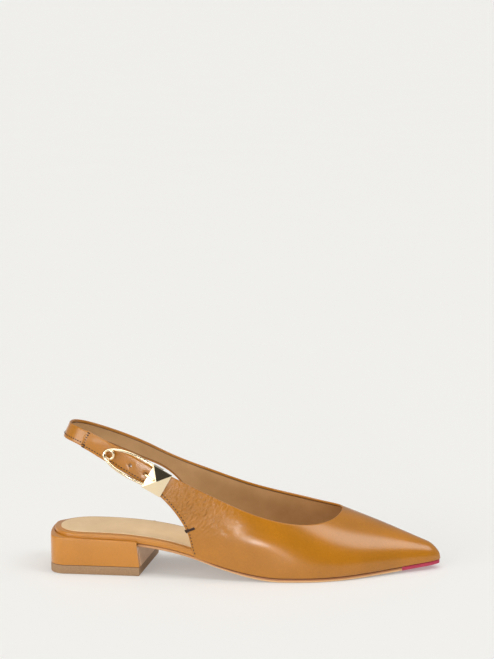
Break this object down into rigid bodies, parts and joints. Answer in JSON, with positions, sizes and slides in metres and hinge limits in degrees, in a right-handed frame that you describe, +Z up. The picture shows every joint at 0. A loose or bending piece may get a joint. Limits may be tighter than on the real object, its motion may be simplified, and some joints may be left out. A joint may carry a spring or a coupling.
{
  "type": "slingback pump",
  "caption": "Right women's slingback pump with a pointed toe, a low squared block heel and a buckled strap round the back of the heel.",
  "frame": {"origin": "on the underside of the heel's top lift, in its middle", "axes": "+X from heel to toe, +Y to the inner side of the foot, +Z up from the floor"},
  "size_m": [0.2672, 0.0789, 0.1006],
  "materials": {
    "tan_leather": "semi-gloss calf leather, tan",
    "beige_lining": "matt smooth lining leather, beige",
    "sole_leather": "smooth sole leather, taupe",
    "coloured_sole_leather": "smooth sole leather, raspberry red",
    "lift_rubber": "matt rubber, taupe",
    "pale_gold": "polished pale gold plate"
  },
  "bodies": {
    "root": {"outsole": "sole_leather", "toe_tip": "coloured_sole_leather", "insole": "tan_leather", "sock": "beige_lining", "heel_block": "tan_leather", "top_lift": "lift_rubber", "upper": "tan_leather", "sling_strap": "tan_leather", "strap_end": "tan_leather", "buckle_frame": "pale_gold", "buckle_head": "pale_gold", "prong": "pale_gold"}
  },
  "joints": []
}
